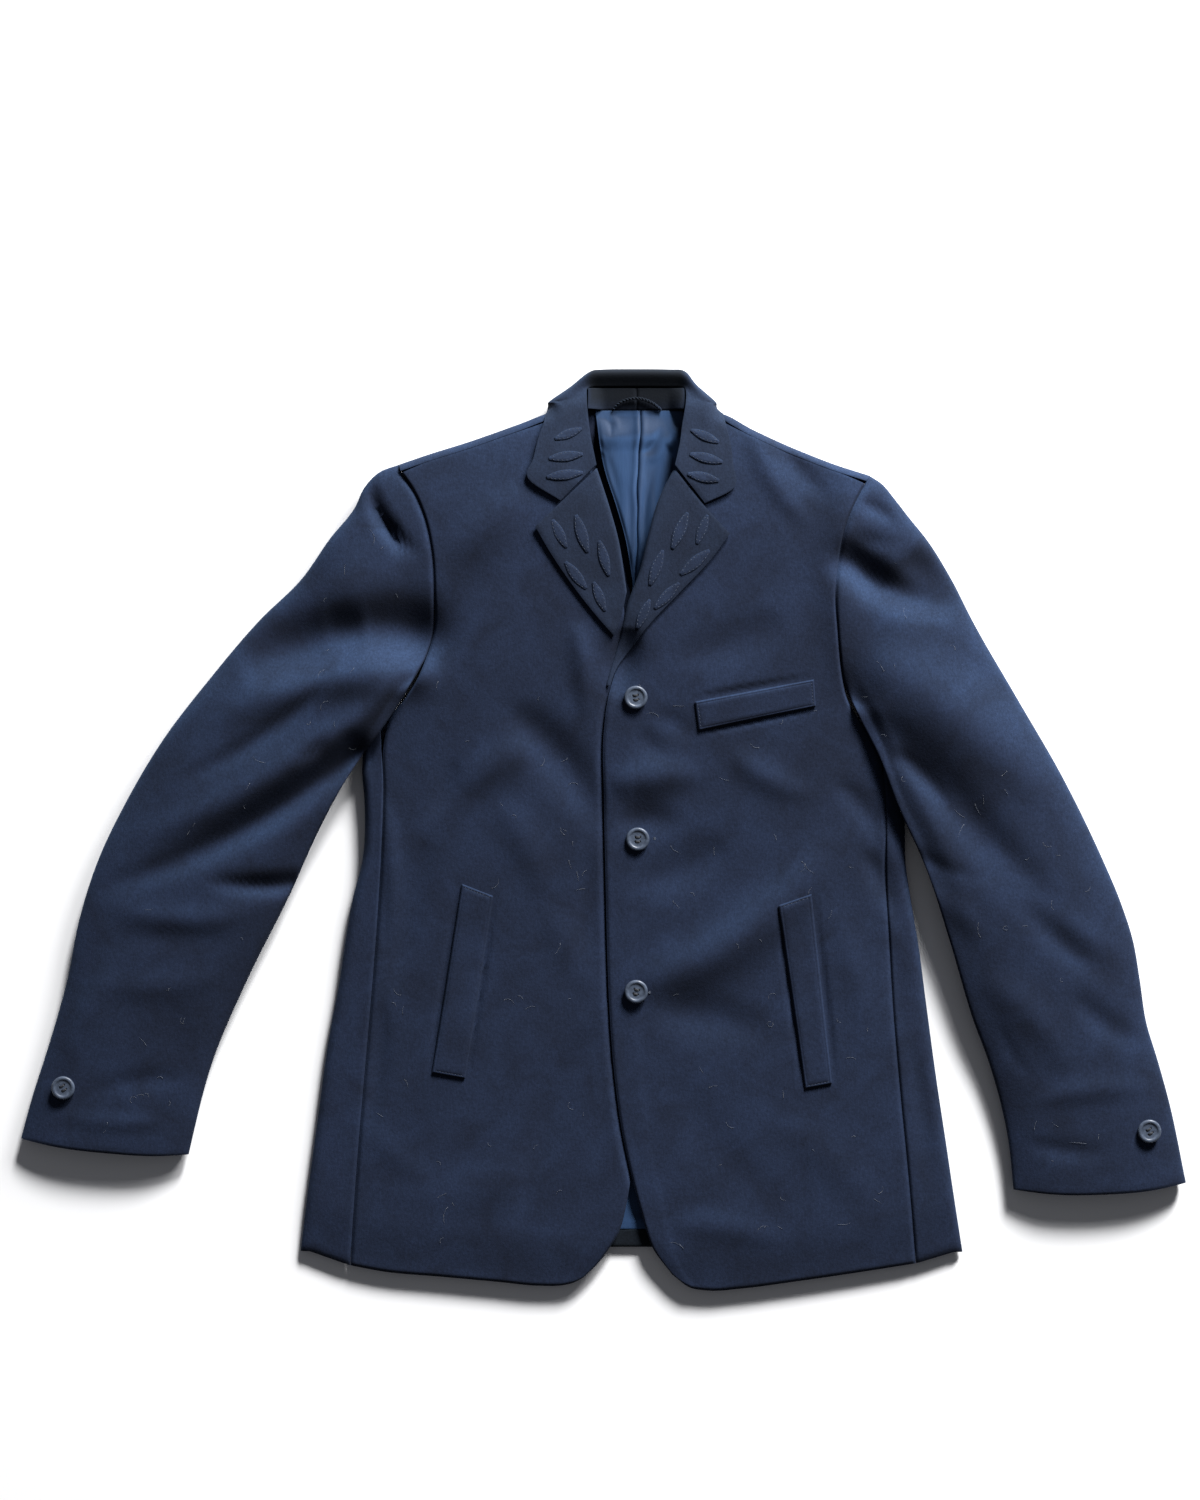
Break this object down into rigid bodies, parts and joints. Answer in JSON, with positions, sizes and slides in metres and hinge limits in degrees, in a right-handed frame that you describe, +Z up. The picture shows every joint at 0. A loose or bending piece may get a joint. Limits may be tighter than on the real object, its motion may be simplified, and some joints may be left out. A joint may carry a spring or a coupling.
{
  "type": "blazer",
  "caption": "Single-breasted wool blazer laid flat on its back, buttoned, sleeves spread, with notch lapels, welt pockets and leaf applique.",
  "frame": {"origin": "centre of the blazer's outline on the surface it lies on", "axes": "+X across the sleeves towards the wearer's left, +Y from the hem to the collar, +Z up out of the front"},
  "size_m": [0.9985, 0.7903, 0.0329],
  "materials": {
    "body_wool": "matte",
    "facing_wool": "matte",
    "felt_applique": "matte",
    "lining_satin": "satin",
    "horn_button": "satin"
  },
  "bodies": {
    "root": {"back": "body_wool", "front_left": "body_wool", "front_right": "body_wool", "side_left": "body_wool", "side_right": "body_wool", "sleeve_left_top": "body_wool", "sleeve_left_under": "body_wool", "sleeve_right_top": "body_wool", "sleeve_right_under": "body_wool", "lapel_left": "facing_wool", "lapel_right": "facing_wool", "collar": "facing_wool", "collar_stand": "facing_wool", "lining_neck_left": "lining_satin", "lining_neck_right": "lining_satin", "lining_hem": "lining_satin", "hem_turnup": "body_wool", "hanger_loop": "facing_wool", "welt_breast": "body_wool", "welt_left": "body_wool", "welt_right": "body_wool", "button_front_1": "horn_button", "button_front_2": "horn_button", "button_front_3": "horn_button", "button_cuff_left": "horn_button", "button_cuff_right": "horn_button", "leaf_lapel_left_1": "felt_applique", "leaf_lapel_left_2": "felt_applique", "leaf_lapel_left_3": "felt_applique", "leaf_lapel_left_4": "felt_applique", "leaf_lapel_left_5": "felt_applique", "leaf_lapel_left_6": "felt_applique", "leaf_lapel_right_1": "felt_applique", "leaf_lapel_right_2": "felt_applique", "leaf_lapel_right_3": "felt_applique", "leaf_lapel_right_4": "felt_applique", "leaf_lapel_right_5": "felt_applique", "leaf_collar_1": "felt_applique", "leaf_collar_2": "felt_applique", "leaf_collar_3": "felt_applique", "leaf_collar_4": "felt_applique", "leaf_collar_5": "felt_applique", "leaf_collar_6": "felt_applique"}
  },
  "joints": []
}
